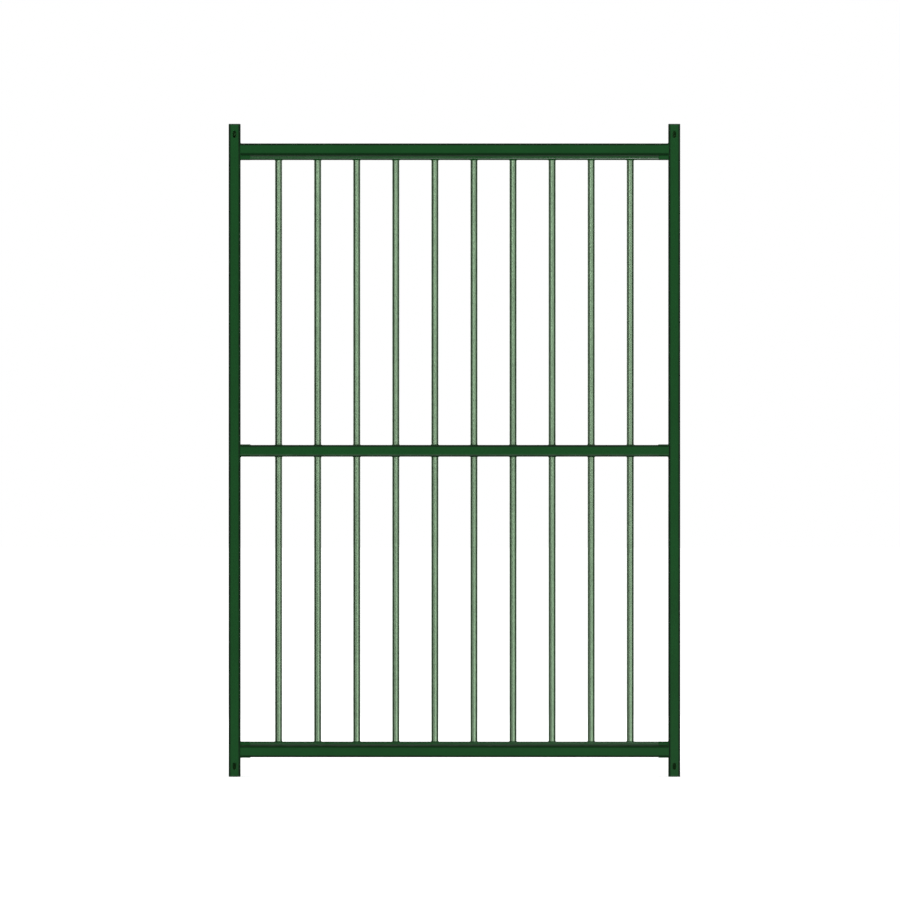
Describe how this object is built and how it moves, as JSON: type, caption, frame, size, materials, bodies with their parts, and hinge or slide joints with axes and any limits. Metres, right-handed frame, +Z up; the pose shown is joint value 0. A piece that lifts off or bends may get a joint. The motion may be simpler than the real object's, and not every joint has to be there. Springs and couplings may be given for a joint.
{
  "type": "livestock pen panel",
  "caption": "Tall livestock pen panel: square-tube frame with upright round bars in two rows and bolt slots at the post ends.",
  "frame": {"origin": "on the ground under the middle of the panel, at the foot caps' outer faces", "axes": "+Z up, +X to the right across the panel, front face towards -Y"},
  "size_m": [1.155, 0.03, 1.67],
  "materials": {
    "frame_paint": "satin dark green paint on steel tube",
    "bar_paint": "satin pale sage green paint on steel tube",
    "cap_plastic": "matt dark plastic"
  },
  "bodies": {
    "root": {"left_post": "frame_paint", "right_post": "frame_paint", "top_rail": "frame_paint", "middle_rail": "frame_paint", "bottom_rail": "frame_paint", "top_carrier": "frame_paint", "bottom_carrier": "frame_paint", "top_left_end_piece": "frame_paint", "top_right_end_piece": "frame_paint", "bottom_left_end_piece": "frame_paint", "bottom_right_end_piece": "frame_paint", "middle_left_strap": "frame_paint", "middle_right_strap": "frame_paint", "bottom_left_strap": "frame_paint", "bottom_right_strap": "frame_paint", "upper_bar_01": "bar_paint", "upper_bar_02": "bar_paint", "upper_bar_03": "bar_paint", "upper_bar_04": "bar_paint", "upper_bar_05": "bar_paint", "upper_bar_06": "bar_paint", "upper_bar_07": "bar_paint", "upper_bar_08": "bar_paint", "upper_bar_09": "bar_paint", "upper_bar_10": "bar_paint", "lower_bar_01": "bar_paint", "lower_bar_02": "bar_paint", "lower_bar_03": "bar_paint", "lower_bar_04": "bar_paint", "lower_bar_05": "bar_paint", "lower_bar_06": "bar_paint", "lower_bar_07": "bar_paint", "lower_bar_08": "bar_paint", "lower_bar_09": "bar_paint", "lower_bar_10": "bar_paint", "left_post_top_cap": "cap_plastic", "left_post_bottom_cap": "cap_plastic", "right_post_top_cap": "cap_plastic", "right_post_bottom_cap": "cap_plastic"}
  },
  "joints": []
}
